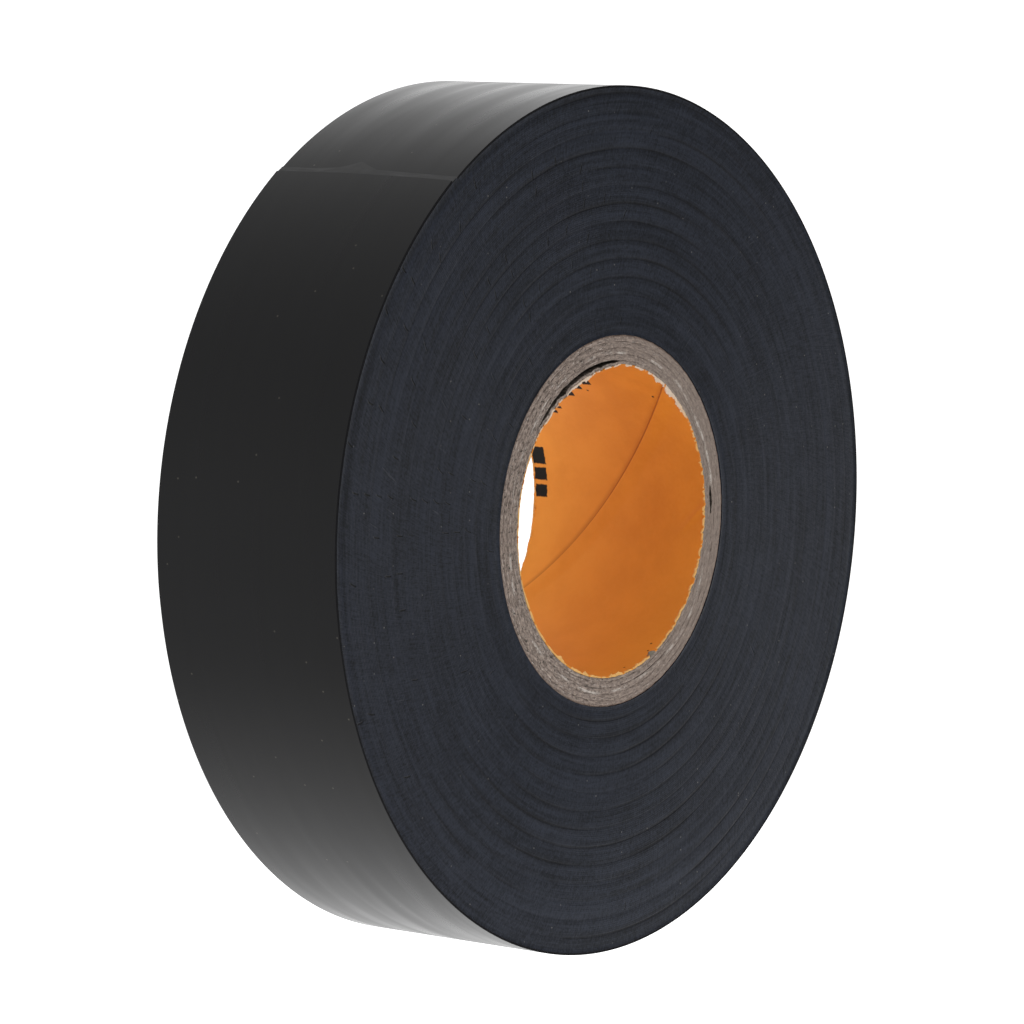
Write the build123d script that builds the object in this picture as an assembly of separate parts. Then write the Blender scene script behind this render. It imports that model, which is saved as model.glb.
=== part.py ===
from build123d import *
import math
import os

# A roll of electrical tape: one strip of soft PVC tape wound on a cardboard core.
#
# The origin is the middle of the core's bore. +Y runs along the roll's axis to the
# back face, +Z is up, and the roll stands on its rim. Lengths are in millimetres and
# angles in degrees, measured in the XZ plane from +X towards +Z.

# ---- Tape: driving dimensions ----
TAPE_WIDTH = 19.0            # the standard 3/4 inch width
TAPE_LENGTH = 20000.0        # a full roll
FILM_THICKNESS = 0.13        # PVC film
ADHESIVE_THICKNESS = 0.05    # rubber adhesive on the film's inner side

# ---- Core: driving dimensions ----
CORE_DIAMETER = 32.0         # outside of the core, where the tape starts
BOARD_PLY_COUNT = 4
BOARD_PLY_THICKNESS = 0.55   # grey chipboard
LINING_PLY_THICKNESS = 0.30  # thin board inside the thick plies
LINER_THICKNESS = 0.10       # coloured paper that faces the bore
SEAM_LEAD = 66.0             # travel along the axis in one turn of a ply's seam
SEAM_GAP = 0.15              # between the two edges of a ply's strip
SEAM_ANGLE = 6.0             # the liner's seam at mid width

# ---- Free end of the tape: driving dimensions ----
TAPE_END_ANGLE = 125.5       # where the outer turn stops
TAIL_SEGMENTS = 8            # rigid lengths that stand for the flexible free end
TAIL_SEGMENT_SWEEP = 8.0     # of the roll, covered by each length
TAIL_STAND_OFF = 0.03        # between the free end and the turn it lies on

# ---- Helper sizes ----
HALF_TURN = 180.0
FULL_TURN = 360.0
CUTTER_OVERSIZE = 1.0        # how far a seam's cutter passes the ply's ends and walls

# ---- Sizes that follow ----
tape_thickness = FILM_THICKNESS + ADHESIVE_THICKNESS
core_radius = CORE_DIAMETER / 2
board_thickness = BOARD_PLY_COUNT * BOARD_PLY_THICKNESS
bore_radius = core_radius - board_thickness - LINING_PLY_THICKNESS - LINER_THICKNESS
roll_radius = math.sqrt(core_radius**2 + TAPE_LENGTH * tape_thickness / math.pi)
tail_sweep = TAIL_SEGMENTS * TAIL_SEGMENT_SWEEP
peel_angle = TAPE_END_ANGLE + tail_sweep

# Seen from the front, the strip winds outwards clockwise, so one turn of it is a
# spiral. Two half circles make the spiral: their centres stand a quarter of the tape's
# thickness either side of the axis, and their radii differ by half of it.
near_centre = Vector(1, 0).rotate(Axis.Z, TAPE_END_ANGLE) * (tape_thickness / 4)
far_centre = -near_centre
near_radius = roll_radius - tape_thickness / 4
far_radius = near_radius - tape_thickness / 2


def upright(profile):
    """Stand a flat profile up in the XZ plane and give it the tape's width."""
    return extrude(Plane.XZ * profile, amount=TAPE_WIDTH / 2, both=True)


def arc_about(centre, radius, start, sweep):
    """An arc in the flat profile's plane."""
    return CenterArc((centre.X, centre.Y), radius, start, sweep)


def layer_profile(centre, outer_radius, thickness, start, sweep):
    """A curved length of one layer, from its outer radius inwards."""
    outside = arc_about(centre, outer_radius, start, sweep)
    inside = arc_about(centre, outer_radius - thickness, start, sweep)
    ends = [Line(outside @ 0, inside @ 0), Line(outside @ 1, inside @ 1)]
    return make_face(Curve() + [outside, inside] + ends)


def half_disc(centre, radius, start):
    """The half of a disc that starts at an angle."""
    rim = arc_about(centre, radius, start, HALF_TURN)
    return make_face(Curve() + [rim, Line(rim @ 0, rim @ 1)])


def seam_cutter(inner, outer, angle):
    """A twisted blade along a ply's helical seam, which is at the angle at mid width."""
    travel = TAPE_WIDTH + 2 * CUTTER_OVERSIZE
    twist = FULL_TURN * travel / SEAM_LEAD
    foot = Vector(0, -travel / 2, 0)
    blade = Pos((inner + outer) / 2, 0) * Rectangle(outer - inner + 2 * CUTTER_OVERSIZE, SEAM_GAP)
    blade = Pos(foot) * (Plane.XZ * (Rot(0, 0, angle + twist / 2) * blade))
    return Solid.extrude_linear_with_rotation(blade.face(), foot, (0, travel, 0), twist)


def core_ply(inner, thickness, seam_angle):
    """A strip of board or paper wound into a tube, whose edges meet in a helical seam."""
    outer = inner + thickness
    tube = upright(Circle(outer) - Circle(inner))
    return tube - seam_cutter(inner, outer, seam_angle)


def core_plies():
    """The plies from the liner outwards, with their seams spread evenly round the core."""
    thicknesses = {"core_liner": LINER_THICKNESS, "core_lining_ply": LINING_PLY_THICKNESS}
    for number in range(1, BOARD_PLY_COUNT + 1):
        thicknesses[f"core_board_{number}"] = BOARD_PLY_THICKNESS
    plies = {}
    inner = bore_radius
    seam_angle = SEAM_ANGLE
    for name, thickness in thicknesses.items():
        plies[name] = core_ply(inner, thickness, seam_angle)
        inner += thickness
        seam_angle += FULL_TURN / len(thicknesses)
    return plies


def wound_turns():
    """Every turn under the outer one, pressed together, with the step where they stop."""
    near_half = half_disc(near_centre, near_radius - tape_thickness, TAPE_END_ANGLE)
    far_half = half_disc(far_centre, far_radius - tape_thickness, TAPE_END_ANGLE + HALF_TURN)
    return upright(near_half + far_half - Circle(core_radius))


def outer_turn(depth, thickness):
    """The stuck part of one layer of the outer turn, at a depth below its surface."""
    near_sweep = HALF_TURN - tail_sweep
    far_start = TAPE_END_ANGLE + HALF_TURN
    near = layer_profile(near_centre, near_radius - depth, thickness, peel_angle, near_sweep)
    far = layer_profile(far_centre, far_radius - depth, thickness, far_start, HALF_TURN)
    return upright(near + far)


def tail_segment(number, depth, thickness):
    """One layer of a length of the free end. The lengths are counted from the peel line."""
    surface = near_radius + TAIL_STAND_OFF
    start = peel_angle - number * TAIL_SEGMENT_SWEEP
    return upright(layer_profile(near_centre, surface - depth, thickness, start, TAIL_SEGMENT_SWEEP))


def hinge_point(number):
    """The line that a length of the free end turns about: its foot, at the film's surface."""
    arm = Vector(near_radius + TAIL_STAND_OFF, 0)
    turned = arm.rotate(Axis.Z, peel_angle - (number - 1) * TAIL_SEGMENT_SWEEP)
    return near_centre + turned


nodes = core_plies()
nodes["wound_turns"] = wound_turns()
nodes["outer_turn_film"] = outer_turn(0, FILM_THICKNESS)
nodes["outer_turn_adhesive"] = outer_turn(FILM_THICKNESS, ADHESIVE_THICKNESS)
for number in range(1, TAIL_SEGMENTS + 1):
    nodes[f"tail_film_{number}"] = tail_segment(number, 0, FILM_THICKNESS)
    nodes[f"tail_adhesive_{number}"] = tail_segment(number, FILM_THICKNESS, ADHESIVE_THICKNESS)

os.makedirs("parts", exist_ok=True)
for name, shape in nodes.items():
    export_step(shape, f"parts/{name}.step")
    print(f"{name}: {len(shape.solids())} solid, {shape.volume:.2f} mm3")

print(f"roll radius {roll_radius:.3f}, bore radius {bore_radius:.3f}")
for number in range(1, TAIL_SEGMENTS + 1):
    hinge = hinge_point(number)
    print(f"hinge {number} at x {hinge.X:.4f}, z {hinge.Y:.4f}")
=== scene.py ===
# %% [markdown]
# # A roll of electrical tape
#
# A roll of electrical tape is one long strip of soft black film, sticky on its inner
# side, wound on a thick cardboard core. Its beauty is all in small things: the fine
# rings on its side face, the soft streaks on the film, the frayed end of the core and
# the coloured paper in its bore.
#
# The CAD model gives the sizes and the moving parts. This lesson dresses it: each CAD
# solid is replaced by a finer piece of the same size, and each piece gets a finish.

# %% Load the CAD frame
import math
import bmesh
import bpy
from mathutils import Matrix, Vector, noise


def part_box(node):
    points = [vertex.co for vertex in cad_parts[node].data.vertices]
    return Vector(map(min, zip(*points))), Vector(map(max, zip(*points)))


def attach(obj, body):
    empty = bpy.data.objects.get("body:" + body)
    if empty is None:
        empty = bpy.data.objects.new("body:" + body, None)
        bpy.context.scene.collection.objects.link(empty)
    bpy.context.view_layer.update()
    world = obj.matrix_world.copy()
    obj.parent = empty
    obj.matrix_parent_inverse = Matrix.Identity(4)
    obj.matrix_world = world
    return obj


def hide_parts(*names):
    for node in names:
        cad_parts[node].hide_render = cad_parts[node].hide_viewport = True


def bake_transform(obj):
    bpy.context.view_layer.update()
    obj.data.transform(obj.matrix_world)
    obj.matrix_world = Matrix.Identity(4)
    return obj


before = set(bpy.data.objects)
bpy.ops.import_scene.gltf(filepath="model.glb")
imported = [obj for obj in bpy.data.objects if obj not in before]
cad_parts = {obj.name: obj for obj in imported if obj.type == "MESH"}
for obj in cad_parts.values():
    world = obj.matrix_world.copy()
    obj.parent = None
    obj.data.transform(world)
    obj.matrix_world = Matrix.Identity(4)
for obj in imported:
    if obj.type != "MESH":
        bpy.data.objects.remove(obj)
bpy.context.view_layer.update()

MM = 0.001

# %% [markdown]
# ## The sizes
#
# The tape's layers are far thinner than a hair's breadth on screen, but they decide the
# roll's shape. One turn of a wound strip isn't a circle: it ends one layer further out
# than it started. Two half circles whose centres stand a little apart make that spiral,
# and the CAD model is built the same way, so the pieces fit it exactly.

# %% Sizes of the roll, in millimetres and degrees
TAPE_WIDTH = 19.0
FILM = 0.13
ADHESIVE = 0.05
TAPE = FILM + ADHESIVE
CORE_RADIUS = 16.0
BORE_RADIUS = 13.4
LINER = 0.10
LINING = 0.30
BOARD = 0.55
ROLL_RADIUS = math.sqrt(CORE_RADIUS**2 + 20000 * TAPE / math.pi)
TAPE_END = 125.5
TAIL_LENGTHS = 8
TAIL_SWEEP = 8.0
STAND_OFF = 0.03
PEEL = TAPE_END + TAIL_LENGTHS * TAIL_SWEEP
HALF_WIDTH = TAPE_WIDTH / 2

outer_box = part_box("outer_turn_film")
print("roll radius %.3f mm, CAD roll %.3f mm" % (ROLL_RADIUS, outer_box[1].x * 1000))


# %% Where the spiral's surface is
def unit(angle):
    """The direction at an angle, from +X towards +Z."""
    turned = math.radians(angle)
    return Vector((math.cos(turned), 0, math.sin(turned)))


near_centre = unit(TAPE_END) * (TAPE / 4)
near_radius = ROLL_RADIUS - TAPE / 4
far_radius = near_radius - TAPE / 2


def on_spiral(angle, depth):
    """The point at an angle and a depth under the outer turn's surface. The outer turn
    starts at the tape's end and runs for 360 degrees."""
    near = angle < TAPE_END + 180
    centre, radius = (near_centre, near_radius) if near else (-near_centre, far_radius)
    return centre + unit(angle) * (radius - depth)


def smooth_step(value, start, end):
    """0 before start, 1 after end, and smooth between them."""
    t = min(1, max(0, (value - start) / (end - start)))
    return t * t * (3 - 2 * t)


print("step at the tape's end: %.3f mm" % (
    on_spiral(TAPE_END, 0).length - on_spiral(TAPE_END + 360, 0).length))


# %% [markdown]
# ## Tools for the finishes
#
# Every finish here is procedural: a few noise and maths nodes, with no pictures. The
# helpers below only shorten the making of nodes. `polar` turns the object's own
# coordinates into a radius and a turn, because everything on the side of a roll runs
# round the axis or straight out from it.

# %% Node helpers
def add_node(tree, kind, feeds=(), **settings):
    """Add a node. Each feed is a number, a colour, a vector or another node's output."""
    node = tree.nodes.new(kind)
    for name, value in settings.items():
        setattr(node, name, value)
    for place, feed in (feeds.items() if isinstance(feeds, dict) else enumerate(feeds)):
        if isinstance(feed, bpy.types.NodeSocket):
            tree.links.new(feed, node.inputs[place])
        else:
            node.inputs[place].default_value = feed
    return node


def calc(tree, operation, *feeds):
    """One sum, with the name of Blender's operation."""
    return add_node(tree, "ShaderNodeMath", feeds, operation=operation).outputs[0]


def times(tree, product, *values):
    for value in values:
        product = calc(tree, "MULTIPLY", product, value)
    return product


def plus(tree, total, *values):
    for value in values:
        total = calc(tree, "ADD", total, value)
    return total


def minus(tree, value, taken):
    return calc(tree, "SUBTRACT", value, taken)


def wave(tree, kind, turn):
    """The SINE or COSINE of a turn, where 1 is all the way round."""
    return calc(tree, kind, times(tree, turn, 2 * math.pi))


def ramp(tree, value, low, high, out_low=0.0, out_high=1.0):
    """Stretch a value from low..high to out_low..out_high, with soft ends."""
    feeds = {"Value": value, "From Min": low, "From Max": high,
             "To Min": out_low, "To Max": out_high}
    return add_node(tree, "ShaderNodeMapRange", feeds, interpolation_type="SMOOTHSTEP").outputs[0]


def blend_colour(tree, share, first, second):
    feeds = {"Factor": share, 6: first, 7: second}
    return add_node(tree, "ShaderNodeMix", feeds, data_type="RGBA").outputs[2]


def vector(tree, x, y, z):
    return add_node(tree, "ShaderNodeCombineXYZ", (x, y, z)).outputs[0]


def split(tree, place):
    """The three numbers of a vector or a colour."""
    return add_node(tree, "ShaderNodeSeparateXYZ", [place]).outputs


def grain(tree, place, scale, detail=3.0, roughness=0.5, distortion=0.0):
    feeds = {"Vector": place, "Scale": scale, "Detail": detail, "Roughness": roughness,
             "Distortion": distortion}
    return add_node(tree, "ShaderNodeTexNoise", feeds).outputs["Fac"]


def dust_specks(tree, place, scale, rarity, edge, core):
    """Round specks, one in each lucky cell of a flat pattern, and each cell's luck."""
    dust = add_node(tree, "ShaderNodeTexVoronoi", {"Vector": place, "Scale": scale},
                    voronoi_dimensions="2D")
    luck = split(tree, dust.outputs["Color"])[0]
    chosen = calc(tree, "GREATER_THAN", luck, rarity)
    return times(tree, chosen, ramp(tree, dust.outputs["Distance"], edge, core)), luck


def new_finish(name, colour, roughness, specular=0.5):
    """A material, its node tree and its shader."""
    material = bpy.data.materials.new(name)
    material.use_nodes = True
    shader = material.node_tree.nodes["Principled BSDF"]
    shader.inputs["Base Color"].default_value = (*colour, 1)
    shader.inputs["Roughness"].default_value = roughness
    shader.inputs["Specular IOR Level"].default_value = specular
    return material, material.node_tree, shader


def feed_bump(tree, shader, height, depth_mm, strength=1.0):
    feeds = {"Strength": strength, "Distance": depth_mm * MM, "Height": height}
    bump = add_node(tree, "ShaderNodeBump", feeds)
    tree.links.new(bump.outputs[0], shader.inputs["Normal"])


# %% Where a point is, for a finish
def object_place(tree):
    return add_node(tree, "ShaderNodeTexCoord").outputs["Object"]


def strip_place(tree):
    return add_node(tree, "ShaderNodeUVMap", uv_map="strip").outputs[0]


def polar(tree):
    """The radius in millimetres, the turn (-0.5 to 0.5), and y in millimetres."""
    x, y, z = split(tree, object_place(tree))
    squares = plus(tree, times(tree, x, x), times(tree, z, z))
    radius = times(tree, calc(tree, "SQRT", squares), 1 / MM)
    turn = calc(tree, "DIVIDE", calc(tree, "ARCTAN2", z, x), 2 * math.pi)
    return radius, turn, times(tree, y, 1 / MM)


def round_grain(tree, radius, turn, around, outwards, swirl=0.0, **look):
    """Noise that has no seam: `around` sets how fine it is round the axis, `outwards` how
    fine along the radius, and `swirl` leans it, in turns per millimetre."""
    leaning = plus(tree, turn, times(tree, radius, swirl))
    place = vector(tree, times(tree, wave(tree, "COSINE", leaning), around),
                   times(tree, wave(tree, "SINE", leaning), around),
                   times(tree, radius, outwards))
    return grain(tree, place, 1.0, **look)


# %% [markdown]
# ## The black film
#
# The film is soft PVC, calendered to a low sheen. It is almost black, so nearly all that
# shows is reflection: dim where it is seen square on, and bright where it is seen at a
# slant. Its specular level is low, because the surface is slightly rough and waxy. Long
# soft streaks run along the strip, where the winding stretched it, with a little dust.
#
# The pattern follows the strip, so it reads a UV map in metres: u runs along the strip
# and v across it. If the strip bends, the streaks bend with it.

# %% Finish of the film
STREAK_ALONG, STREAK_ACROSS = 40.0, 420.0
FILM_DUST = (0.12, 0.11, 0.09, 1)


def film_finish(name, colour, roughness):
    material, tree, shader = new_finish(name, colour, roughness, specular=0.165)
    strip = strip_place(tree)
    along, across, _ = split(tree, strip)
    streak_place = vector(tree, times(tree, along, STREAK_ALONG),
                          times(tree, across, STREAK_ACROSS), 0.0)
    streaks = grain(tree, streak_place, 1.0, detail=2.0, roughness=0.4, distortion=0.3)
    broad = grain(tree, strip, 70.0, detail=1.0)
    fine = grain(tree, strip, 2600.0, detail=2.0)
    speck, _ = dust_specks(tree, strip, 420.0, 0.88, 0.045, 0.02)
    dusty = blend_colour(tree, times(tree, speck, 0.5), (*colour, 1), FILM_DUST)
    paler = tuple(channel * 1.8 for channel in colour)
    shown = blend_colour(tree, ramp(tree, broad, 0.3, 0.7, 0.0, 0.35), dusty, (*paler, 1))
    tree.links.new(shown, shader.inputs["Base Color"])
    tree.links.new(ramp(tree, streaks, 0.3, 0.7, roughness - 0.03, roughness + 0.05),
                   shader.inputs["Roughness"])
    feed_bump(tree, shader, plus(tree, streaks, times(tree, fine, 0.015)), 0.03, 0.5)
    print("%s: %d nodes" % (name, len(tree.nodes)))
    return material


black_film = film_finish("black_film", (0.0014, 0.0014, 0.0018), 0.30)
stretched_film = film_finish("stretched_film", (0.010, 0.010, 0.0105), 0.38)

# %% [markdown]
# The slit edge of the film is a hairline that takes hardly any light, so it has a plain
# finish of its own.

# %% Finish of the film's slit edge
film_edge = new_finish("film_edge", (0.004, 0.004, 0.005), 0.6, 0.06)[0]
print("film_edge: a plain finish")

# %% [markdown]
# ## The rubber adhesive
#
# The film's inner side carries a thin coat of black rubber adhesive. It is shinier than
# the film, a little brown, and never quite level.

# %% Finish of the adhesive
adhesive_black, tree, shader = new_finish("adhesive_black", (0.006, 0.0055, 0.005), 0.22, 0.45)
lumps = grain(tree, strip_place(tree), 900.0, detail=3.0)
colour = blend_colour(tree, lumps, (0.004, 0.004, 0.004, 1), (0.009, 0.008, 0.007, 1))
tree.links.new(colour, shader.inputs["Base Color"])
tree.links.new(ramp(tree, lumps, 0.3, 0.7, 0.18, 0.34), shader.inputs["Roughness"])
feed_bump(tree, shader, lumps, 0.02, 0.5)
print("adhesive:", len(tree.nodes), "nodes")

# %% [markdown]
# ## The slit side face
#
# The side of the roll shows the edges of all its turns. They were slit from a wide log
# with a round knife. The marks come at several scales, and each is made by itself:
#
# - one dark line every 1.56 mm, in a slow spiral, where the winding tension changed and left
#   a shallow valley. The line's darkness is partly painted shade, with a soft painted shadow
#   beside it, and this painted shade is plain above and below the core and fades at its sides;
# - the edge of each layer, 0.18 mm apart, finer than the eye quite resolves;
# - groups of layers that stand a little prouder or duller than others.

# %% The side face's rings
RING_PITCH = 1.56
RING_START = 24.0
RING_TURN = 120.0 / 360

slit_edges, tree, shader = new_finish("slit_edges", (0.010, 0.011, 0.016), 0.5, 0.13)
radius, turn, _ = polar(tree)

# The phase is a whole number on each dark line.
ring_phase = plus(tree, calc(tree, "DIVIDE", minus(tree, radius, RING_START), RING_PITCH),
                  minus(tree, turn, RING_TURN))
ring_wobble = round_grain(tree, radius, turn, 2.5, 0.3, detail=2.0)
ring_phase = plus(tree, ring_phase, times(tree, minus(tree, ring_wobble, 0.5), 0.16))
ring_gap = calc(tree, "PINGPONG", ring_phase, 0.5)
# Painted shade: the dark ring lines and the shadow beside them are strongest above and below the
# core and fade at its sides, as the light falls on their valleys.
upright = calc(tree, "ABSOLUTE", wave(tree, "SINE", turn))
ring_patches = round_grain(tree, radius, turn, 1.6, 0.35, detail=2.0)
ring_strength = times(tree, ramp(tree, ring_patches, 0.38, 0.64, 0.10, 1.0),
                      ramp(tree, upright, 0.5, 0.98, 0.22, 1.0))
# ring_line is partly a dark line and partly the painted shade of its valley; ring_painted_shadow is
# a soft painted shadow beside it.
ring_line = times(tree, ramp(tree, ring_gap, 0.10, 0.02), ring_strength)
ring_painted_shadow = times(tree, ramp(tree, ring_gap, 0.36, 0.04), ring_strength)
band_place = vector(tree, calc(tree, "FLOOR", ring_phase), times(tree, turn, 0.01), 0.0)
band_tone = grain(tree, band_place, 3.7, detail=0.0)

layer_phase = plus(tree, calc(tree, "DIVIDE", minus(tree, radius, ROLL_RADIUS), TAPE),
                   minus(tree, turn, TAPE_END / 360))
layer_patches = round_grain(tree, radius, turn, 1.3, 0.12, detail=2.0)
layer_line = times(tree, ramp(tree, calc(tree, "PINGPONG", layer_phase, 0.5), 0.16, 0.02),
                   ramp(tree, layer_patches, 0.42, 0.62, 0.12, 0.9))
bands = round_grain(tree, radius, turn, 2.5, 2.6, detail=4.0, roughness=0.7)
print("rings of the side face:", len(tree.nodes), "nodes")

# %% [markdown]
# The knife leaves close scratches that run outwards but lean with its turning. Where it
# caught, there are short dark nicks across a few layers, and pale scuffs. A nick is made
# in a cell of a polar grid: each cell draws its own luck, and only the lucky cells show a
# leaning, slightly curved cut. Most of them are on one side.

# %% The side face's scratches and nicks
KNIFE_LEAN = 0.0018
NICK_CELLS = 60.0
NICK_ROW = 1.5
NICKED_TURN = 150.0 / 360

scratches = round_grain(tree, radius, turn, 330.0, 0.9, KNIFE_LEAN, detail=4.0, roughness=0.6)
long_scuffs = round_grain(tree, radius, turn, 95.0, 0.33, 0.0022, detail=3.0, roughness=0.6)
scuff_patches = round_grain(tree, radius, turn, 3.0, 0.15)
scuff = times(tree, ramp(tree, long_scuffs, 0.66, 0.76), ramp(tree, scuff_patches, 0.48, 0.6))

cells = times(tree, turn, NICK_CELLS)
rows = calc(tree, "DIVIDE", radius, NICK_ROW)
cell = vector(tree, calc(tree, "FLOOR", cells), calc(tree, "FLOOR", rows), 0.0)
luck = add_node(tree, "ShaderNodeTexWhiteNoise", [cell], noise_dimensions="2D")
luck_shown, luck_curve, luck_lean = split(tree, luck.outputs["Color"])
in_row = minus(tree, calc(tree, "FRACT", rows), 0.5)
curve = times(tree, in_row, in_row, ramp(tree, luck_curve, 0.0, 1.0, -0.02, -0.3))
lean = times(tree, in_row, ramp(tree, luck_lean, 0.0, 1.0, -0.06, -0.28))
away = calc(tree, "ABSOLUTE", minus(tree, calc(tree, "FRACT", cells), plus(tree, 0.5, curve, lean)))
nicked_side = wave(tree, "COSINE", minus(tree, turn, NICKED_TURN))
luck_shown = plus(tree, luck_shown, ramp(tree, nicked_side, 0.2, 1.0, 0.0, 0.35))
nick = times(tree, ramp(tree, away, 0.030, 0.012),
             ramp(tree, calc(tree, "ABSOLUTE", in_row), 0.32, 0.15),
             ramp(tree, luck_shown, 0.94, 1.04))
print("side face with its marks:", len(tree.nodes), "nodes")

# %% [markdown]
# Last come dust and the colour itself, a blackish blue that is mixed from all the marks.
# The knife's scratches spread the light round the axis. That is what anisotropy does: the
# tangent runs round the axis, so a highlight stretches the same way as on the real roll.

# %% The side face's colour and gloss
SIDE_DARK, SIDE_LIGHT = (0.0030, 0.0040, 0.0065, 1), (0.0150, 0.0190, 0.0310, 1)

x, _, z = split(tree, object_place(tree))
speck, speck_luck = dust_specks(tree, vector(tree, x, z, 0.0), 800.0, 0.94, 0.07, 0.03)
mottle = grain(tree, object_place(tree), 420.0, detail=3.0)
flecks = grain(tree, object_place(tree), 4200.0, detail=2.0)
tone = plus(tree, times(tree, scratches, 0.30), times(tree, bands, 0.30),
            times(tree, mottle, 0.08), times(tree, band_tone, 0.10), times(tree, flecks, 0.22))
colour = blend_colour(tree, ramp(tree, tone, 0.38, 0.62), SIDE_DARK, SIDE_LIGHT)
for mark, share, tint in (
        (layer_line, 0.35, (0.006, 0.006, 0.008, 1)),
        (ring_painted_shadow, 0.38, (0.004, 0.004, 0.006, 1)),
        (ring_line, 0.65, (0.002, 0.002, 0.003, 1)),
        (scuff, 0.35, (0.07, 0.075, 0.09, 1)),
        (nick, 0.95, (0.0005, 0.0005, 0.0005, 1)),
        (speck, ramp(tree, speck_luck, 0.94, 1.0, 0.3, 0.9), (0.13, 0.125, 0.12, 1))):
    colour = blend_colour(tree, times(tree, mark, share), colour, tint)
tree.links.new(colour, shader.inputs["Base Color"])
tree.links.new(ramp(tree, tone, 0.38, 0.62, 0.58, 0.44), shader.inputs["Roughness"])
height = plus(tree, times(tree, scratches, 0.4), times(tree, bands, 0.5),
              times(tree, ring_line, -1.0), times(tree, layer_line, -0.4),
              times(tree, nick, -2.2), times(tree, scuff, 0.3))
feed_bump(tree, shader, height, 0.03, 0.7)

tangent = vector(tree, times(tree, z, -1.0), 0.0, x)
around = add_node(tree, "ShaderNodeVectorMath", [tangent], operation="NORMALIZE")
shader.inputs["Anisotropic"].default_value = 0.7
tree.links.new(around.outputs[0], shader.inputs["Tangent"])
print("whole side face:", len(tree.nodes), "nodes")

# %% [markdown]
# ## The board
#
# The core is rolled from strips of grey chipboard, which is recycled paper. Its sawn end
# shows long fibres that run with the plies, with pale flecks and dark specks. On one side
# the saw left the fibres raised, and on the other it pressed them smooth. A broken pale
# streak and two thin dark lines wander round near the middle of the board, glue stains
# the outermost fibres brown, and the walls of a gap between two plies are darkened with
# painted shade.

# %% Finish of the board
BOARD_STREAKS = (  # radius and width in millimetres, where it breaks off, and colour
    (14.55, 0.17, 0.46, (0.52, 0.475, 0.43, 1)),
    (14.12, 0.08, 0.50, (0.07, 0.06, 0.05, 1)),
    (15.20, 0.07, 0.54, (0.10, 0.08, 0.065, 1)))
PALE_FLECK, DARK_SPECK = (0.62, 0.56, 0.51, 1), (0.03, 0.025, 0.02, 1)
GLUE_STAIN, GAP_SHADE = (0.17, 0.10, 0.065, 1), (0.026, 0.020, 0.014, 1)


def board_finish(name, dark, light):
    material, tree, shader = new_finish(name, dark, 0.85, 0.25)
    radius, turn, _ = polar(tree)
    fibres = round_grain(tree, radius, turn, 34.0, 6.0, detail=5.0, roughness=0.68, distortion=0.5)
    flecks = round_grain(tree, radius, turn, 30.0, 10.0, detail=2.0)
    specks = grain(tree, object_place(tree), 3300.0, detail=2.0)
    raised = ramp(tree, wave(tree, "COSINE", turn), 0.8, -0.6, 0.35, 1.0)
    tone = plus(tree, times(tree, minus(tree, fibres, 0.5), raised), 0.5)
    colour = blend_colour(tree, ramp(tree, tone, 0.3, 0.7), (*dark, 1), (*light, 1))
    share = times(tree, ramp(tree, flecks, 0.60, 0.72, 0, 0.6), raised)
    colour = blend_colour(tree, share, colour, PALE_FLECK)
    share = times(tree, ramp(tree, specks, 0.62, 0.70, 0, 0.9), raised)
    colour = blend_colour(tree, share, colour, DARK_SPECK)
    wander = round_grain(tree, radius, turn, 1.3, 0.0, detail=1.0)
    wander = times(tree, minus(tree, wander, 0.5), 1.3)
    broken = round_grain(tree, radius, turn, 7.0, 0.4, detail=2.0)
    fringe = ramp(tree, fibres, 0.38, 0.58, 0.15, 0.8)
    for place, width, low, tint in BOARD_STREAKS:
        away = calc(tree, "ABSOLUTE", minus(tree, plus(tree, radius, wander), place))
        streak = times(tree, ramp(tree, away, width, width / 4),
                       ramp(tree, broken, low, low + 0.16), fringe)
        colour = blend_colour(tree, streak, colour, tint)
    colour = blend_colour(tree, ramp(tree, radius, 15.75, CORE_RADIUS, 0.0, 0.5), colour, GLUE_STAIN)
    # Painted shade: the walls of a gap between plies are darkened, most where it opens widest.
    hollow = add_node(tree, "ShaderNodeAttribute", attribute_name="hollow").outputs["Fac"]
    share = ramp(tree, hollow, 0.2, 0.8, 0, plus(tree, 0.45, fringe))
    colour = blend_colour(tree, share, colour, GAP_SHADE)
    tree.links.new(colour, shader.inputs["Base Color"])
    height = plus(tree, times(tree, fibres, raised), times(tree, flecks, 0.5))
    feed_bump(tree, shader, height, 0.10, 0.8)
    print("%s: %d nodes" % (name, len(tree.nodes)))
    return material


chipboard = board_finish("chipboard", (0.092, 0.070, 0.059), (0.36, 0.288, 0.243))
lining_board = board_finish("lining_board", (0.092, 0.072, 0.061), (0.39, 0.315, 0.265))

# %% [markdown]
# ## The paper in the bore
#
# The bore is lined with smooth orange paper. It is plain but not flat in tone: the glue
# behind it mottles it. Painted light makes it paler towards the back, where light comes
# in through the bore, and brighter towards the bottom. Near the back edge, a row of dark
# blocks is left from printing. They are drawn from two numbers, the turn and the place
# across, so they need no picture.

# %% The paper's colour and print
SEAM_LEAD = 66.0
SEAM_ANGLE = 6.0
LINER_MARKS = (  # start and end angle, nearest and furthest y, in degrees and millimetres
    (11.5, 18.4, 7.9, 9.3), (5.1, 10.0, 7.9, 9.25), (-1.4, 3.4, 7.95, 9.2),
    (52.8, 57.2, -1.0, 0.0), (49.4, 52.2, 0.5, 1.4), (44.8, 47.2, 1.9, 2.7),
    (48.5, 49.3, -0.1, 0.1), (37.2, 38.4, 4.2, 4.7), (34.8, 36.2, 4.9, 5.5),
    (-63.4, -62.8, -8.8, -8.6), (-59.3, -58.5, -8.5, -8.35), (-75.5, -71.5, -9.5, -9.35),
    (-78.0, -77.0, -8.5, -8.4), (47.2, 48.3, -7.1, -6.9))
SOFT_ANGLE, SOFT_ACROSS = 0.3, 0.05
INK = (0.007, 0.005, 0.003, 1)

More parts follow.
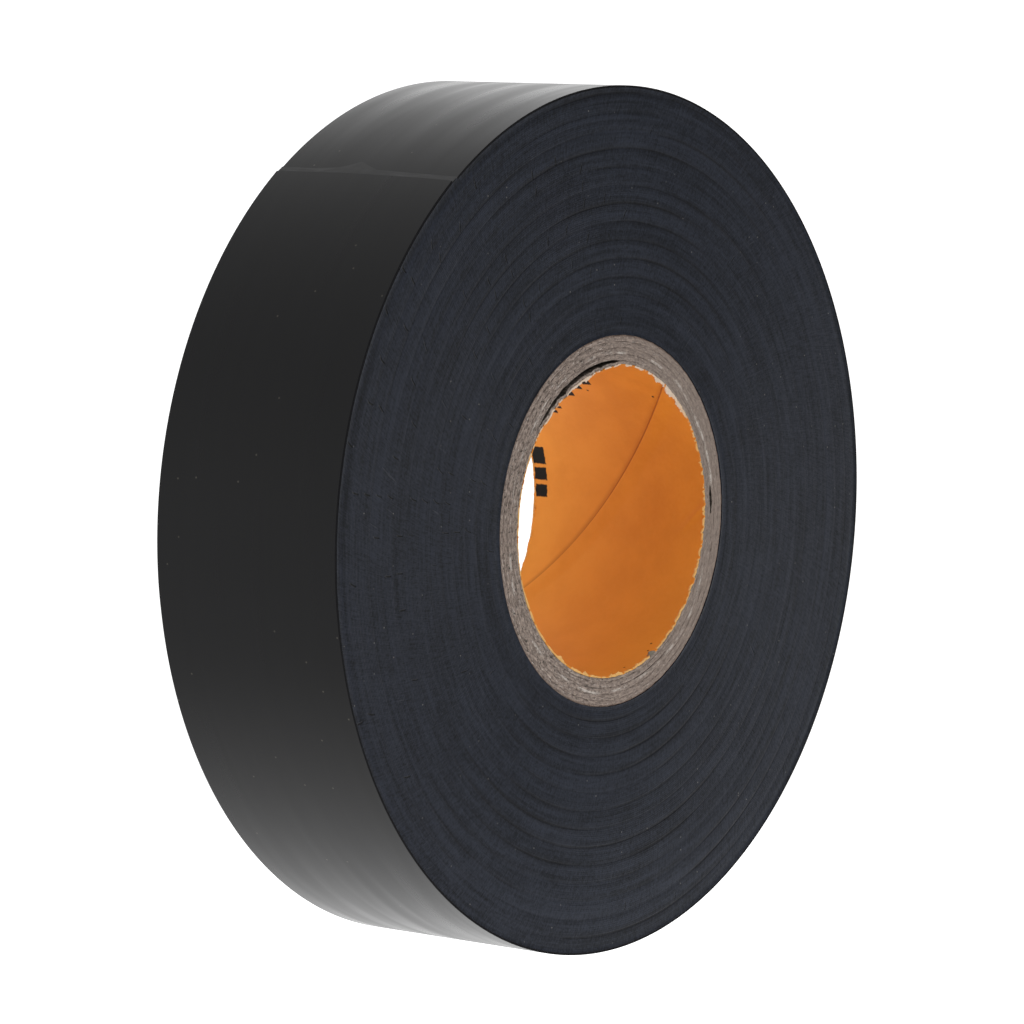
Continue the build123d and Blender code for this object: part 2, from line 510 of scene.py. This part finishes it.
orange_paper, tree, shader = new_finish("orange_paper", (0.80, 0.25, 0.035), 0.6, 0.15)
radius, turn, across = polar(tree)
mottle = grain(tree, object_place(tree), 260.0, detail=4.0, roughness=0.6)
pulp = grain(tree, object_place(tree), 3000.0, detail=2.0)
# Painted light: the paper is painted paler towards the back, where more light comes in through the
# bore.
painted_back_light = ramp(tree, across, -9.0, 9.0)
low = blend_colour(tree, painted_back_light, (0.54, 0.168, 0.011, 1), (0.69, 0.257, 0.030, 1))
high = blend_colour(tree, painted_back_light, (0.61, 0.200, 0.015, 1), (0.755, 0.296, 0.039, 1))
colour = blend_colour(tree, ramp(tree, mottle, 0.3, 0.7), low, high)
upwards = wave(tree, "SINE", turn)
# Painted light: the lower wall of the bore is painted brighter, as if more light reached it.
colour = blend_colour(tree, ramp(tree, upwards, 0.1, -0.9, 0.0, 0.26), colour, (0.95, 0.42, 0.06, 1))
colour = blend_colour(tree, times(tree, pulp, 0.10), colour, (0.80, 0.42, 0.14, 1))

ragged = grain(tree, object_place(tree), 2500.0)
ragged = times(tree, minus(tree, ragged, 0.5), 0.25)
angle = times(tree, turn, 360.0)
ragged_angle = plus(tree, angle, times(tree, ragged, 4.0))
ragged_across = plus(tree, across, ragged)
ink = 0.0
for start, end, front, back in LINER_MARKS:
    block = times(tree, ramp(tree, ragged_angle, start - SOFT_ANGLE, start + SOFT_ANGLE),
                  ramp(tree, ragged_angle, end + SOFT_ANGLE, end - SOFT_ANGLE),
                  ramp(tree, ragged_across, front - SOFT_ACROSS, front + SOFT_ACROSS),
                  ramp(tree, ragged_across, back + SOFT_ACROSS, back - SOFT_ACROSS))
    ink = calc(tree, "MAXIMUM", ink, block)
colour = blend_colour(tree, ink, colour, INK)
print("paper and print:", len(tree.nodes), "nodes")

# %% [markdown]
# The seam shows as a dark line where the top edge ends, partly grime and partly painted
# shade, with a soft band of painted shadow beside it. Where the knife went through, the
# paper tore, and its pale inside shows in a ragged fringe: whiter at the top, where the
# glue let go, and creamy elsewhere. One torn flake is grey with the board's fibres.

# %% The paper's seam and torn edges
SEAM_GRIME_AND_SHADE = (0.22, 0.045, 0.004, 1)
CREAMY_PULP, WHITE_PULP = (0.70, 0.40, 0.13, 1), (0.66, 0.52, 0.40, 1)
GREY_PULP = (0.16, 0.14, 0.11, 1)

past_seam = plus(tree, minus(tree, angle, SEAM_ANGLE), times(tree, across, 360 / SEAM_LEAD))
# The dark seam line is partly grime and partly painted shade; seam_shade is a painted shadow beside
# the overlapping edge.
seam_line = times(tree, ramp(tree, past_seam, -0.7, -0.1), ramp(tree, past_seam, 1.1, 0.2),
                  ramp(tree, across, -9.0, 9.0, 0.45, 0.9))
seam_shade = times(tree, ramp(tree, past_seam, -0.4, 0.0), ramp(tree, past_seam, 4.5, 0.0),
                   ramp(tree, across, -9.0, 9.0, 0.15, 0.75), 0.6)
colour = blend_colour(tree, calc(tree, "MAXIMUM", seam_line, seam_shade), colour, SEAM_GRIME_AND_SHADE)
torn = add_node(tree, "ShaderNodeAttribute", attribute_name="torn").outputs["Fac"]
torn = ramp(tree, plus(tree, torn, times(tree, ragged, 1.5)), 0.45, 0.6)
pulp_colour = blend_colour(tree, ramp(tree, upwards, 0.4, 0.8), CREAMY_PULP, WHITE_PULP)
colour = blend_colour(tree, torn, colour, pulp_colour)
flake = times(tree, ramp(tree, ragged_angle, -67.0, -66.5), ramp(tree, ragged_angle, -62.6, -63.2),
              ramp(tree, across, -9.05, -9.2))
colour = blend_colour(tree, flake, colour, GREY_PULP)
tree.links.new(colour, shader.inputs["Base Color"])
feed_bump(tree, shader, plus(tree, mottle, times(tree, pulp, 0.2)), 0.05, 0.5)
print("whole paper:", len(tree.nodes), "nodes")

# %% [markdown]
# ## Making a ring
#
# The core's plies and the wound tape are all rings. A ring could be made from two
# cylinders and a boolean, but that leaves long thin faces. Spinning a small rectangle
# about the axis gives even quads, which can then be pushed about like clay. The rectangle
# is spun into one narrow sector first, and that sector is copied round, which is quicker.

# %% Spin a rectangle into a ring
SECTORS = 30
ON_END = HALF_WIDTH - 1e-4


def divide(bm, edges, cuts):
    bmesh.ops.subdivide_edges(bm, edges=edges, cuts=cuts, use_grid_fill=True)


def spin_ring(inner, outer, steps, end_cuts, wall_cuts, start_angle=0.0):
    """A ring round the Y axis, as wide as the tape. Its ends and its walls are divided."""
    bm = bmesh.new()
    corners = [bm.verts.new((r, y, 0)) for r, y in (
        (inner, -HALF_WIDTH), (outer, -HALF_WIDTH), (outer, HALF_WIDTH), (inner, HALF_WIDTH))]
    sides = [bm.edges.new((corners[i], corners[(i + 1) % 4])) for i in range(4)]
    divide(bm, [sides[0], sides[2]], end_cuts)
    walls = [e for e in bm.edges if abs(e.verts[0].co.x - e.verts[1].co.x) < 1e-6]
    divide(bm, walls, wall_cuts)
    bmesh.ops.rotate(bm, verts=bm.verts, cent=(0, 0, 0),
                     matrix=Matrix.Rotation(-math.radians(start_angle), 3, "Y"))
    turning = {"cent": (0, 0, 0), "axis": (0, -1, 0)}
    sector = 2 * math.pi / SECTORS
    bmesh.ops.spin(bm, geom=bm.verts[:] + bm.edges[:], angle=sector,
                   steps=steps // SECTORS, **turning)
    bmesh.ops.spin(bm, geom=bm.verts[:] + bm.edges[:] + bm.faces[:], angle=2 * math.pi - sector,
                   steps=SECTORS - 1, use_duplicate=True, **turning)
    bmesh.ops.remove_doubles(bm, verts=bm.verts, dist=1e-4)
    return bm


def polar_of(point):
    return math.hypot(point.x, point.z), math.degrees(math.atan2(point.z, point.x))


def set_polar(vert, radius, angle):
    turned = unit(angle) * radius
    vert.co.x, vert.co.z = turned.x, turned.z


# %% From a bmesh to a piece of the object
def as_piece(bm, name, materials, sharp=50.0):
    """Turn a bmesh in millimetres into an object in metres, with smooth shading."""
    bmesh.ops.recalc_face_normals(bm, faces=bm.faces)
    bmesh.ops.scale(bm, vec=(MM, MM, MM), verts=bm.verts)
    mesh = bpy.data.meshes.new(name)
    bm.to_mesh(mesh)
    bm.free()
    mesh.shade_smooth()
    mesh.set_sharp_from_angle(angle=math.radians(sharp))
    for material in materials:
        mesh.materials.append(material)
    piece = bpy.data.objects.new(name, mesh)
    bpy.context.scene.collection.objects.link(piece)
    mesh.calc_loop_triangles()
    print("%s: %d triangles" % (name, len(mesh.loop_triangles)))
    return piece


# %% [markdown]
# ## The wound tape
#
# All the turns under the outer one are pressed so hard together that they are one body.
# Its rim follows the spiral, and each side face carries the rings as real relief: a
# narrow valley every 1.56 mm, which fades at the core's sides. Near the core and near the
# rim the layers sink a little deeper.

# %% Make the wound tape
WOUND_STEPS = 480
SIDE_ROWS = 92
VALLEY_DEPTH, VALLEY_WIDTH = 0.030, 0.11
SIDE_DEPTH, SIDE_WAVE, EDGE_SINK = 0.02, 0.02, 0.03


def ring_relief(radius, angle, side):
    """How deep the side face lies under the tape's full width."""
    phase = (radius - RING_START) / RING_PITCH - (RING_TURN * 360 - angle) / 360 + side * 0.37
    gap = abs(phase - round(phase))
    valley = VALLEY_DEPTH * math.exp(-(gap / VALLEY_WIDTH) ** 2)
    cosine, sine = unit(angle).x, unit(angle).z
    strength = 0.65 + 0.7 * noise.noise(Vector((radius * 0.13, cosine * 1.3, sine * 1.3 + side * 7)))
    strength *= 0.35 + 0.65 * smooth_step(abs(sine), 0.2, 0.9)
    slow = noise.noise(Vector((cosine * 2, sine * 2, radius * 0.22 + side * 5)))
    at_edge = max(smooth_step(radius, 36.3, 36.7), smooth_step(radius, 16.9, 16.4))
    return SIDE_DEPTH + valley * strength + SIDE_WAVE * slow + EDGE_SINK * at_edge


wound_radius = ROLL_RADIUS - TAPE
bm = spin_ring(CORE_RADIUS, wound_radius, WOUND_STEPS, SIDE_ROWS, 3, TAPE_END)
for vert in bm.verts:
    radius, angle = polar_of(vert.co)
    limit = on_spiral((angle - TAPE_END + 1e-4) % 360 + TAPE_END, TAPE).length
    share = (radius - CORE_RADIUS) / (wound_radius - CORE_RADIUS)
    radius = CORE_RADIUS + share * (limit - CORE_RADIUS)
    set_polar(vert, radius, angle)
    if abs(vert.co.y) > ON_END and 0.002 < share < 0.998:
        side = 1 if vert.co.y > 0 else 0
        vert.co.y -= math.copysign(ring_relief(radius, angle, side), vert.co.y)
wound_tape = as_piece(bm, "wound_tape", [slit_edges, black_film])
for face in wound_tape.data.polygons:
    on_rim = abs(face.normal.y) < 0.5 and face.center.length > 0.03
    face.material_index = 1 if on_rim else 0
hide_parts("wound_turns")
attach(wound_tape, "roll")

# %% [markdown]
# The rim of the wound tape is film seen on its outer side, which reads the `strip` UV
# map. Here u is the length round the roll and v the place across it.

# %% Give the wound tape its strip map
UV_START = 3.0  # metres: keeps this map clear of the outer turn's


def map_strip(piece):
    """Write the UV map of a piece that goes all the way round."""
    layer = piece.data.uv_layers.new(name="strip")
    for face in piece.data.polygons:
        middle = math.atan2(face.center.z, face.center.x)
        for loop in face.loop_indices:
            point = piece.data.vertices[piece.data.loops[loop].vertex_index].co
            angle = math.atan2(point.z, point.x)
            angle += 2 * math.pi * round((middle - angle) / (2 * math.pi))
            layer.data[loop].uv = (angle * ROLL_RADIUS * MM + UV_START, point.y)
    print("%s: %d mapped corners" % (piece.name, len(layer.data)))


map_strip(wound_tape)

# %% [markdown]
# ## The outer turn and the free end
#
# Film and adhesive are two thin strips. A strip is easiest to think of flat: a long thin
# box, with its long edges bevelled because a slit edge is never razor sharp. The box is
# divided along its length, its UV map is written while it is still flat, and then every
# point is wound onto the spiral.

# %% Lay a flat strip and wind it on
FLAT_STEP = 0.5
EDGE_ROW = 0.06


def flat_strip(start, end, top, bottom, rows, bevel=0.02, step=FLAT_STEP):
    """A flat strip in a bmesh: x is the angle, y the place across, z minus the depth."""
    bm = bmesh.new()
    bmesh.ops.create_cube(bm, size=1)
    bmesh.ops.scale(bm, vec=(end - start, TAPE_WIDTH, bottom - top), verts=bm.verts)
    bmesh.ops.translate(bm, vec=((start + end) / 2, 0, -(top + bottom) / 2), verts=bm.verts)
    if bevel:
        long_edges = [e for e in bm.edges if abs(e.verts[0].co.x - e.verts[1].co.x) > 1]
        bmesh.ops.bevel(bm, geom=long_edges, offset=bevel, affect="EDGES", segments=2,
                        profile=0.5, material=-1)
    places = [-HALF_WIDTH + number * TAPE_WIDTH / rows for number in range(1, rows)]
    for place in places + [EDGE_ROW - HALF_WIDTH, HALF_WIDTH - EDGE_ROW]:
        bmesh.ops.bisect_plane(bm, geom=bm.verts[:] + bm.edges[:] + bm.faces[:], dist=1e-6,
                               plane_co=(0, place, 0), plane_no=(0, 1, 0))
    lengthwise = [e for e in bm.edges if abs(e.verts[0].co.x - e.verts[1].co.x) > 1]
    divide(bm, lengthwise, max(1, round((end - start) / step)) - 1)
    layer = bm.loops.layers.uv.new("strip")
    for face in bm.faces:
        for loop in face.loops:
            point = loop.vert.co
            loop[layer].uv = (math.radians(point.x) * ROLL_RADIUS * MM, point.y * MM)
    return bm


def wind(bm, lift=None):
    """Wind a flat strip onto the spiral. `lift` gives how far it stands off at an angle."""
    for vert in bm.verts:
        angle, across, height = vert.co
        depth = -height - (lift(angle) if lift else 0)
        vert.co = on_spiral(angle, depth) + Vector((0, across, 0))


def free_lift(angle):
    """The free end lies on its own turn, and stands off it by a hair."""
    return STAND_OFF * smooth_step(angle, PEEL, PEEL - 6)


# %% Make the outer turn
def strip_piece(bm, name, material):
    """Make a strip a piece, and give its slit edges their own finish."""
    piece = as_piece(bm, name, [material, film_edge])
    for face in piece.data.polygons:
        face.material_index = 1 if abs(face.normal.y) > 0.6 else 0
    return piece


for name, node, top, bottom, material, slot in (
        ("outer_turn_film_skin", "outer_turn_film", 0, FILM, black_film, "pvc_film"),
        ("outer_turn_adhesive_coat", "outer_turn_adhesive", FILM, TAPE, adhesive_black, "adhesive")):
    bm = flat_strip(PEEL, TAPE_END + 360, top, bottom, 1)
    wind(bm)
    piece = strip_piece(bm, name, material)
    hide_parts(node)
    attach(piece, "roll")

# %% [markdown]
# The free end is made in nine lengths, cut in the middle of each rigid CAD length. The
# first length, where the tape leaves the roll and would fold tightly, is divided more finely.

# %% Make the free end
FOLD = 2.1
FOLD_STEP = 0.15
LAYERS = (("film", 0, FILM, black_film, "pvc_film", "tail_film_"),
          ("coat", FILM, TAPE, adhesive_black, "adhesive", "tail_adhesive_"))


def peel_bodies(number):
    """The two bodies on either side of length `number`, and where it starts and ends."""
    first = "roll" if number == 0 else "tail_%d" % number
    last = "tail_%d" % (number + 1)
    start = PEEL if number == 0 else PEEL - (number - 0.5) * TAIL_SWEEP
    return first, last, start, PEEL - (number + 0.5) * TAIL_SWEEP


for number in range(TAIL_LENGTHS):
    first, last, start, end = peel_bodies(number)
    bend_end, step = (start - FOLD, FOLD_STEP) if number == 0 else (end, FLAT_STEP)
    for kind, top, bottom, material, slot, node in LAYERS:
        bm = flat_strip(end, start, top, bottom, 1, step=step)
        wind(bm, free_lift)
        piece = strip_piece(bm, "free_end_%s_%d" % (kind, number), material)
        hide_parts(node + str(number + 1))
        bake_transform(piece)

# %% [markdown]
# The tape's end was torn off against an edge. The film stopped at a slightly slanting
# line, and a thin stretched lip of it, paler because stretching whitens PVC, lies beyond
# the line with a small peak near the middle. The last length of film gets that slanting
# edge, and the lip is a very thin strip of its own, so it can have its own finish.

# %% Make the torn end
END_LINE = (  # place across in millimetres, angle in degrees
    (-9.5, 126.6), (-6.6, 126.3), (-2.8, 126.1), (1.4, 125.9), (5.5, 125.9), (9.5, 126.0))
LIP_LINE = (
    (-9.5, 125.5), (-6.1, 125.2), (-2.6, 124.9), (-0.7, 124.7), (0.7, 123.8), (1.6, 123.1),
    (2.3, 123.8), (3.4, 124.5), (6.0, 124.9), (9.5, 124.8))
END_ROWS = 38
LIP_ROWS = 57
LIP_THICKNESS = 0.035
LIP_FLAT_LENGTH = 4
LIP_START = 0.15
LIP_RIPPLE = 0.012


def along_line(line, across):
    """The angle on a line given by points, between which it runs straight."""
    for (first, start), (second, end) in zip(line, line[1:]):
        if across <= second:
            return start + (end - start) * (across - first) / (second - first)
    return line[-1][1]


tip_start = PEEL - (TAIL_LENGTHS - 0.5) * TAIL_SWEEP
for kind, top, bottom, material, slot, _ in LAYERS:
    bm = flat_strip(TAPE_END, tip_start, top, bottom, END_ROWS)
    for vert in bm.verts:
        share = smooth_step(vert.co.x, tip_start, TAPE_END)
        vert.co.x += share * (along_line(END_LINE, vert.co.y) - TAPE_END)
    wind(bm, free_lift)
    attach(strip_piece(bm, "free_end_%s_tip" % kind, material), "tail_8")

# The lip starts level with the film and thins out onto the turn below.
bm = flat_strip(0, LIP_FLAT_LENGTH, 0, LIP_THICKNESS, LIP_ROWS, bevel=0)
for vert in bm.verts:
    share, across, inwards = vert.co.x / LIP_FLAT_LENGTH, vert.co.y, -vert.co.z
    start = along_line(END_LINE, across) + LIP_START
    angle = start + (along_line(LIP_LINE, across) - start) * share
    ripple = noise.noise(Vector((across * 1.7, share * 3, 0.3))) * math.sin(math.pi * share)
    depth = TAPE - 0.045 * (1 - share) - 0.05 - LIP_RIPPLE * ripple + inwards * (1 - 0.6 * share)
    if angle < TAPE_END:
        angle, depth = angle + 360, depth - TAPE
    vert.co = on_spiral(angle, depth) + Vector((0, across, 0))
end_lip = as_piece(bm, "free_end_lip", [stretched_film])
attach(end_lip, "tail_8")

# %% [markdown]
# ## The core
#
# Six plies make the core: four of chipboard, a thin lining board, and the orange paper.
# Each is a spun ring. Their sawn ends are roughened with noise that is stretched along
# the ply, which is how torn fibres lie. In one place the lining has come away from the
# first board, and in another two boards have parted: there the walls are pressed apart.

# %% The gaps between the plies
# Wall radius, middle and half span of its angle, how far the plies inside and outside it
# are pressed, its depth, and the end that it opens at.
GAPS = (
    (13.80, 113.0, 26.0, 0.38, 0.10, 2.4, -1), (14.35, 2.4, 5.2, 0.13, 0.16, 2.0, -1),
    (14.35, -70.0, 16.0, 0.03, 0.03, 0.6, -1), (13.80, -130.0, 20.0, 0.06, 0.04, 1.0, 1),
    (14.90, 60.0, 9.0, 0.03, 0.03, 0.8, 1))
GAP_REACH = 0.5


def angle_between(angle, other):
    """How far one angle is past another, from -180 to 180."""
    return (angle - other + 180) % 360 - 180


def gap_push(radius, angle, y):
    """How far the gaps press a point of the core, outwards when positive."""
    push = 0.0
    for wall, middle, half_span, inwards, outwards, depth, end in GAPS:
        away = angle_between(angle, middle)
        if abs(away) < half_span and abs(radius - wall) < GAP_REACH:
            lens = math.sqrt(1 - (away / half_span) ** 2)
            ragged = 0.8 + 0.6 * noise.noise(Vector((angle * 0.35, wall * 3, 2.0)))
            ragged += 0.25 * noise.noise(Vector((angle * 1.6, wall * 3, 7.0)))
            opening = lens * ragged * (1 - smooth_step(HALF_WIDTH - end * y, 0, depth))
            if radius < wall:
                push -= inwards * opening
            else:
                push += outwards * opening * (1 - smooth_step(radius - wall, 0.02, GAP_REACH))
    return push


print("gaps in the core:", len(GAPS))

# %% Make the boards
PLY_STEPS = 720
BOARD_PLIES = 4
BACK_SEED = 40
SAWN_DEPTH, SAWN_ROUGHNESS, EDGE_DROP = 0.06, 0.055, 0.05


def fibre_noise(radius, angle, seed):
    place = Vector((unit(angle).x * 16, unit(angle).z * 16, radius * 5 + seed))
    return noise.fractal(place, 0.8, 2.0, 3)


def make_ply(name, inner, thickness, material, seed):
    bm = spin_ring(inner, inner + thickness, PLY_STEPS, 5, 9)
    hollow_layer = bm.verts.layers.float.new("hollow")
    middle = inner + thickness / 2
    for vert in bm.verts:
        radius, angle = polar_of(vert.co)
        on_end = abs(vert.co.y) > ON_END
        from_wall = 1 - abs(radius - middle) / (thickness / 2)
        push = gap_push(radius + math.copysign(0.001, middle - radius), angle, vert.co.y)
        # The hollow attribute marks the walls of a gap, for the painted shade in the board's finish.
        at_gap = min(abs(radius - gap[0]) for gap in GAPS) < 0.01
        vert[hollow_layer] = min(1.0, abs(push) / 0.05) if at_gap else 0.0
        set_polar(vert, radius + push, angle)
        if on_end:
            fibres = fibre_noise(radius, angle, seed + (BACK_SEED if vert.co.y > 0 else 0))
            sunk = max(0.0, SAWN_DEPTH + SAWN_ROUGHNESS * fibres)
            sunk += EDGE_DROP * (1 - smooth_step(from_wall, 0, 0.4))
            vert.co.y -= math.copysign(sunk, vert.co.y)
    piece = as_piece(bm, name + "_fibrous", [material], sharp=60)
    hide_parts(name)
    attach(piece, "roll")


lining_inner = BORE_RADIUS + LINER
make_ply("core_lining_ply", lining_inner, LINING, lining_board, 3.0)
for number in range(BOARD_PLIES):
    make_ply("core_board_%d" % (number + 1), lining_inner + LINING + number * BOARD, BOARD,
             chipboard, 11.0 + number * 7)

# %% [markdown]
# ## The orange paper
#
# The paper is one strip wound into the bore, so its seam is a helix. The ring is spun
# straight and then twisted about the axis by the seam's lead, so that a column of points
# lies exactly on the seam. There the overlapping edge stands proud by the paper's
# thickness and casts its own thin shadow. A crease and the torn ends finish it.

# %% The paper's seam and crease
LINER_STEPS = 720
OVERLAP = 0.20
CREASE_DEPTH, CREASE_WIDTH = 0.12, 0.30
SLACK = 0.03


def paper_rise(column, angle, y):
    """How far the paper's inner side stands into the bore, away from its torn ends."""
    past = -column % 360
    rise = OVERLAP * (1 - smooth_step(past, 0.4, 12)) if past > 0.2 else 0.0
    if -14 < angle < 4:
        crease_y = -7.0 - 2.5 * (angle + 10) / 11
        away = (y - crease_y) * math.cos(math.radians(45))
        crease = math.exp(-(away / CREASE_WIDTH) ** 2)
        rise += CREASE_DEPTH * crease * smooth_step(angle, -14, -4)
    around = unit(angle) * 2.2
    return rise + SLACK * noise.noise(Vector((around.x, around.z, y * 0.16)))


# %% The paper's torn ends
TEAR_DEPTH = 0.45
TUFTS = (  # angle and half span in degrees, and size, at the front end
    (60.0, 3.5, 1.1), (53.0, 4.0, 1.3), (43.5, 3.0, 0.8), (-65.5, 3.0, 1.3), (-87.0, 5.0, 0.9),
    (-125.0, 4.0, 1.3), (110.0, 9.0, 0.5))


def tear_and_tuft(angle, y, side):
    """How ragged the torn end is at an angle, and how much of a tuft stands there."""
    tear = noise.fractal(unit(angle) * 22 + Vector((0, side * 9.0, 0)), 0.7, 2.1, 4)
    tear += 0.6 * noise.noise(unit(angle) * 75 + Vector((0, side * 3.0 + y * 2, 0)))
    tuft = max(0.0, noise.noise(unit(angle) * 5 + Vector((0, side * 4.0 + 2, 0))))
    if side < 0:
        for place, half_span, size in TUFTS:
            tuft += size * max(0.0, 1 - (angle_between(angle, place) / half_span) ** 2)
    return tear, tuft


# %% Make the paper
bm = spin_ring(BORE_RADIUS, BORE_RADIUS + LINER, LINER_STEPS, 1, 47)
ends = [e for e in bm.edges if abs(abs(e.verts[0].co.y) - HALF_WIDTH) < 0.5
        and abs(e.verts[0].co.y - e.verts[1].co.y) > 0.1]
divide(bm, ends, 3)
torn_layer = bm.verts.layers.float.new("torn")
for vert in bm.verts:
    radius, column = polar_of(vert.co)
    y = vert.co.y
    angle = column + SEAM_ANGLE - 360 * y / SEAM_LEAD
    side = 1 if y > 0 else -1
    tear, tuft = tear_and_tuft(angle, y, side)
    near_end = 1 - smooth_step(HALF_WIDTH - abs(y), 0, TEAR_DEPTH)
    if radius < BORE_RADIUS + LINER / 2:
        radius -= paper_rise(column, angle, y)
        radius -= near_end * max(0.0, 0.02 + 0.08 * tear + 0.16 * tuft * (1 + tear))
    press = gap_push(BORE_RADIUS, angle, y)
    set_polar(vert, min(radius, BORE_RADIUS + LINER) + press, angle)
    y -= side * near_end * (0.08 + 0.10 * tear)
    vert.co.y = max(-HALF_WIDTH, min(HALF_WIDTH, y))
    vert[torn_layer] = near_end * (0.60 + 0.5 * tear + 0.35 * tuft)
liner_paper = as_piece(bm, "liner_paper", [orange_paper])
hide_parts("core_liner")
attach(liner_paper, "roll")

# %% [markdown]
# ## Floor, light and camera
#
# The roll stands on its rim on a wide white floor, which glows a little like a light
# table, most of all near the roll. Light comes from everywhere, as in a light tent: dimmer
# in front near the floor, and brighter low down behind on the right. One large soft lamp
# stands behind. The tape is nearly black, so it is drawn by what it mirrors.

# %% Floor
FLOOR_RADIUS = 14.0
FLOOR_GAP = 0.05 * MM

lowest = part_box("outer_turn_film")[0].z
bm = bmesh.new()
bmesh.ops.create_circle(bm, cap_ends=True, segments=96, radius=FLOOR_RADIUS)
bmesh.ops.translate(bm, vec=(0, 0, lowest - FLOOR_GAP), verts=bm.verts)
floor_mesh = bpy.data.meshes.new("floor")
bm.to_mesh(floor_mesh)
bm.free()
floor = bpy.data.objects.new("floor", floor_mesh)
bpy.context.scene.collection.objects.link(floor)
pale_floor, tree, shader = new_finish("pale_floor", (0.06, 0.06, 0.06), 0.7, 0.1)
shader.inputs["Emission Color"].default_value = (1, 1, 1, 1)
from_middle = add_node(tree, "ShaderNodeVectorMath", [object_place(tree)], operation="LENGTH")
tree.links.new(ramp(tree, from_middle.outputs["Value"], 0.042, 0.09, 1.65, 1.12),
               shader.inputs["Emission Strength"])
floor_mesh.materials.append(pale_floor)
print("floor at z = %.3f mm" % (lowest / MM))

# %% Light
world = bpy.data.worlds.new("light_tent")
world.use_nodes = True
sky = world.node_tree
direction = add_node(sky, "ShaderNodeTexCoord").outputs["Generated"]
sideways, backwards, upwards = split(sky, direction)
strength = ramp(sky, upwards, 0.05, 0.6, 1.25, 0.93)
shade = times(sky, ramp(sky, backwards, 0.15, -0.5), ramp(sky, upwards, 0.55, 0.15, 0.15, 0.95))
glow = times(sky, ramp(sky, sideways, 0.3, 0.75, 0.0, 0.8), ramp(sky, backwards, 0.1, 0.5),
             ramp(sky, upwards, 0.48, 0.2), ramp(sky, upwards, 0.1, 0.25, 0.2, 1.0))
background = sky.nodes["Background"]
background.inputs["Color"].default_value = (1, 1, 1, 1)
sky.links.new(plus(sky, minus(sky, strength, shade), glow), background.inputs["Strength"])
bpy.context.scene.world = world

lamp_light = bpy.data.lights.new("top_back_lamp", "AREA")
lamp_light.shape = "DISK"
lamp_light.size = 1.2
lamp_light.energy = 1.5
lamp = bpy.data.objects.new("top_back_lamp", lamp_light)
lamp.location = (1.1, 1.5, 1.0)
lamp.rotation_euler = (-lamp.location).to_track_quat("-Z", "Y").to_euler()
bpy.context.scene.collection.objects.link(lamp)
print("sky:", len(sky.nodes), "nodes, lamp %.1f m away" % lamp.location.length)

# %% Camera
AZIMUTH, ELEVATION = math.radians(-52.47), math.radians(6.73)
DISTANCE = 0.435
AIM_RIGHT, AIM_UP = -1.25 * MM, 0.12 * MM

back = Vector((math.sin(AZIMUTH) * math.cos(ELEVATION), -math.cos(AZIMUTH) * math.cos(ELEVATION),
               math.sin(ELEVATION)))
right = Vector((0, 0, 1)).cross(back).normalized()
aim = right * AIM_RIGHT + back.cross(right) * AIM_UP
camera_data = bpy.data.cameras.new("camera")
camera_data.lens = 176.0
camera_data.sensor_width = 36.0
camera = bpy.data.objects.new("camera", camera_data)
camera.location = back * DISTANCE
camera.rotation_euler = (aim - back * DISTANCE).to_track_quat("-Z", "Y").to_euler()
bpy.context.scene.collection.objects.link(camera)
bpy.context.scene.camera = camera
bpy.context.scene.view_settings.view_transform = "Standard"
print("camera %.3f m away" % camera.location.length)
